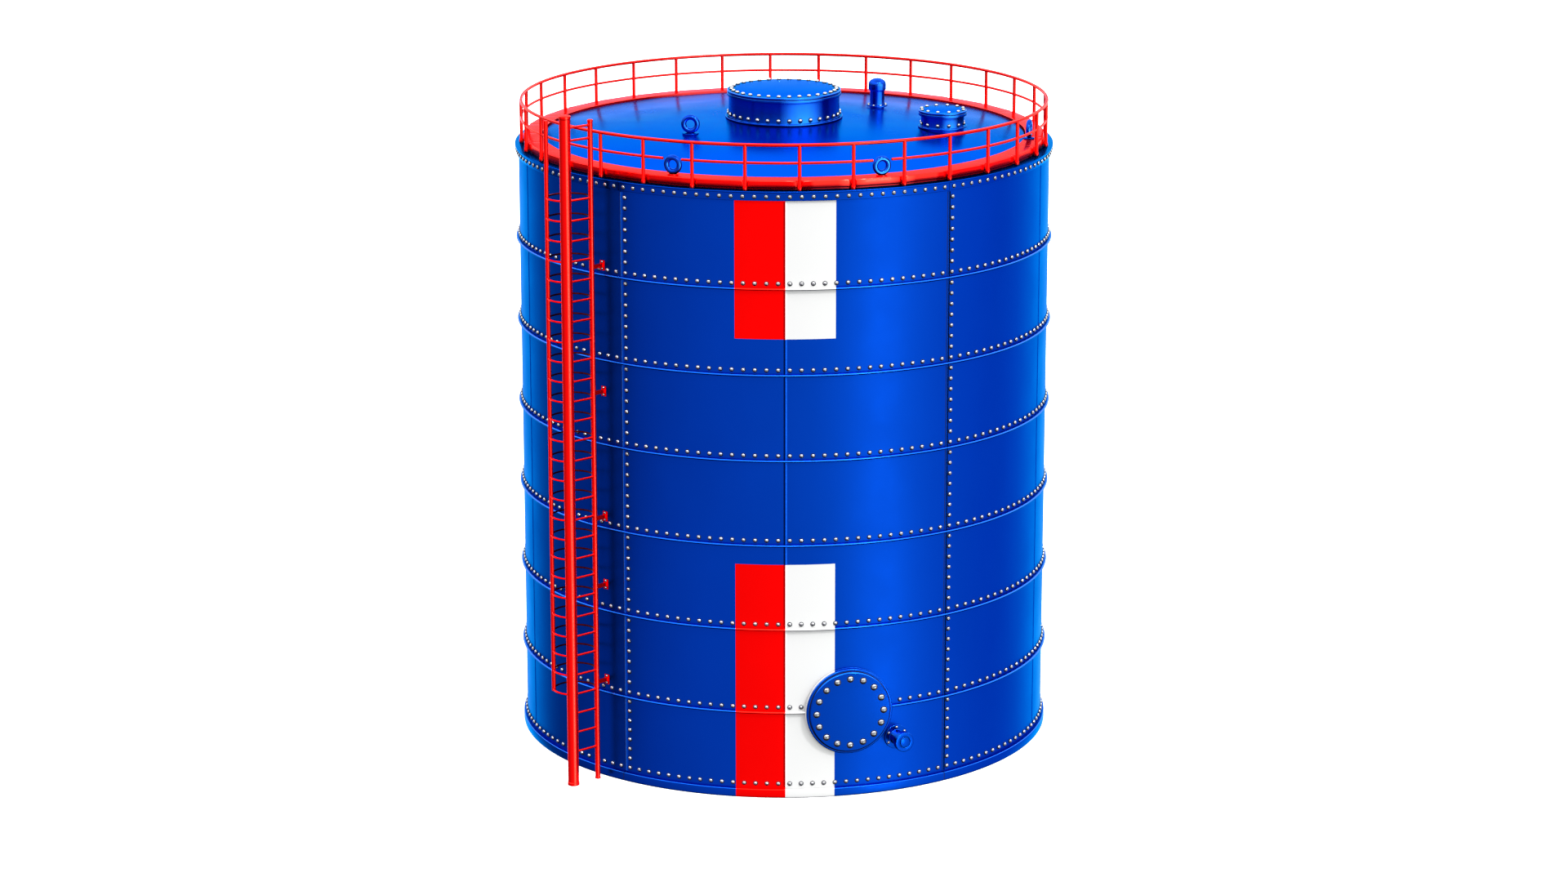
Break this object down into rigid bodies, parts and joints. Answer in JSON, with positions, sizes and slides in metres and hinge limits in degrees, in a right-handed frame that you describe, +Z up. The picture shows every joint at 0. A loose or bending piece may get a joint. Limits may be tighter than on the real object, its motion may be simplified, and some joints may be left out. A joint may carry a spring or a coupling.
{
  "type": "vertical storage tank",
  "caption": "Upright round bolted-plate storage tank: raised hoops, low cone roof with hatches, railed roof edge, caged side ladder, shell manhole and short flanged nozzle.",
  "frame": {"origin": "on the ground at the tank's axis", "axes": "+Z up along the tank's axis; -Y is the front, between the manhole and the ladder; +X is to the right seen from the front"},
  "size_m": [8.648, 8.7353, 10.72],
  "materials": {
    "blue_paint": "gloss paint on steel plate",
    "red_paint": "gloss paint on steel",
    "bolt_steel": "bright plated bolts and nuts"
  },
  "bodies": {
    "root": {"floor_plate": "blue_paint", "base_rim": "blue_paint", "wall_column_01": "blue_paint", "wall_column_02": "blue_paint", "wall_column_03": "blue_paint", "wall_column_04": "blue_paint", "wall_column_05": "blue_paint", "wall_column_06": "blue_paint", "wall_column_07": "blue_paint", "wall_column_08": "blue_paint", "wall_column_09": "blue_paint", "wall_column_10": "blue_paint", "hoop_1": "blue_paint", "hoop_2": "blue_paint", "hoop_3": "blue_paint", "hoop_4": "blue_paint", "hoop_5": "blue_paint", "hoop_6": "blue_paint", "top_band": "blue_paint", "roof": "blue_paint", "kerb": "red_paint", "guardrail_1": "red_paint", "guardrail_2": "red_paint", "guardrail_3": "red_paint", "guardrail_4": "red_paint", "ladder": "red_paint", "ladder_cage": "red_paint", "ladder_bracket_1": "red_paint", "ladder_bracket_2": "red_paint", "ladder_bracket_3": "red_paint", "ladder_bracket_4": "red_paint", "ladder_bracket_5": "red_paint", "roof_hatch_neck": "blue_paint", "roof_hatch_cover": "blue_paint", "small_hatch_neck": "blue_paint", "small_hatch_cover": "blue_paint", "roof_vent": "blue_paint", "lifting_eye_front_left": "blue_paint", "lifting_eye_front_right": "blue_paint", "lifting_eye_right": "blue_paint", "lifting_eye_roof": "blue_paint", "manhole_neck": "blue_paint", "manhole_cover": "blue_paint", "nozzle": "blue_paint", "nozzle_cap": "blue_paint"}
  },
  "joints": []
}
